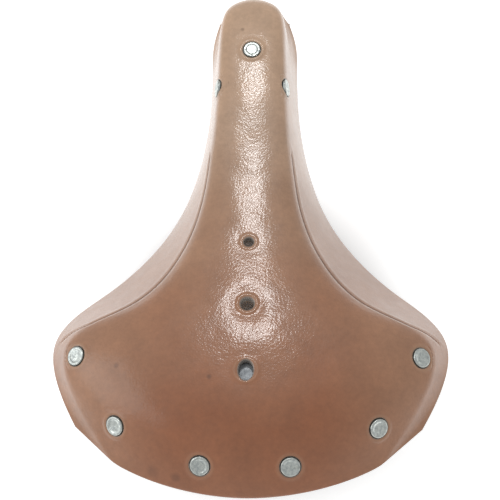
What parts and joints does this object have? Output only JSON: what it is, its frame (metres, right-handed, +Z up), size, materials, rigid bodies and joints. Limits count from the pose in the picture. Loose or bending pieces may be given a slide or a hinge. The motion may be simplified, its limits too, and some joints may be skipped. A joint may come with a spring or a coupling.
{
  "type": "bicycle saddle",
  "caption": "Unsprung leather tension saddle: moulded hide riveted to a nose piece and a cantle plate on twin steel rails, with a tension bolt in the nose.",
  "frame": {"origin": "midway between the two rails, at the middle of the stretch that a seat post clamps", "axes": "+Y towards the nose, +Z up, X across the saddle"},
  "size_m": [0.1976, 0.2729, 0.0647],
  "materials": {
    "leather": "worn, waxed, glossy along the ridge",
    "rivet_steel": "tarnished, hammered",
    "plate_steel": "dull zinc",
    "fastener_steel": "turned",
    "black_enamel": "satin black"
  },
  "bodies": {
    "frame": {"leather_top": "leather", "cantle_plate": "plate_steel", "front_yoke": "black_enamel", "rail_left": "black_enamel", "rail_right": "black_enamel", "rail_socket_left": "black_enamel", "rail_socket_right": "black_enamel", "rear_rivet_1": "rivet_steel", "rear_rivet_2": "rivet_steel", "rear_rivet_3": "rivet_steel", "rear_rivet_4": "rivet_steel", "rear_rivet_5": "rivet_steel", "rear_rivet_6": "rivet_steel", "socket_rivet_1": "fastener_steel", "socket_rivet_2": "fastener_steel", "socket_rivet_3": "fastener_steel", "socket_rivet_4": "fastener_steel"},
    "nose": {"nose_plate": "plate_steel", "nose_anvil": "black_enamel", "tension_bolt": "fastener_steel", "nose_rivet_top": "rivet_steel", "nose_rivet_left": "rivet_steel", "nose_rivet_right": "rivet_steel"},
    "nut": {"tension_nut": "fastener_steel"}
  },
  "joints": [
    {"name": "tension_nut_turn", "type": "hinge", "parent": "frame", "child": "nut", "pos_m": [0, 0.1, 0.034], "axis": [0, 1, 0], "range_deg": [0, 1440]},
    {"name": "nose_slide", "type": "slide", "parent": "frame", "child": "nose", "axis": [0, 1, 0], "range_m": [0, 0.005], "deforming": ["leather_top"]}
  ],
  "couplings": [
    {"joint": "tension_nut_turn", "follows": "nose_slide", "rad_per_m": 5026.5}
  ]
}
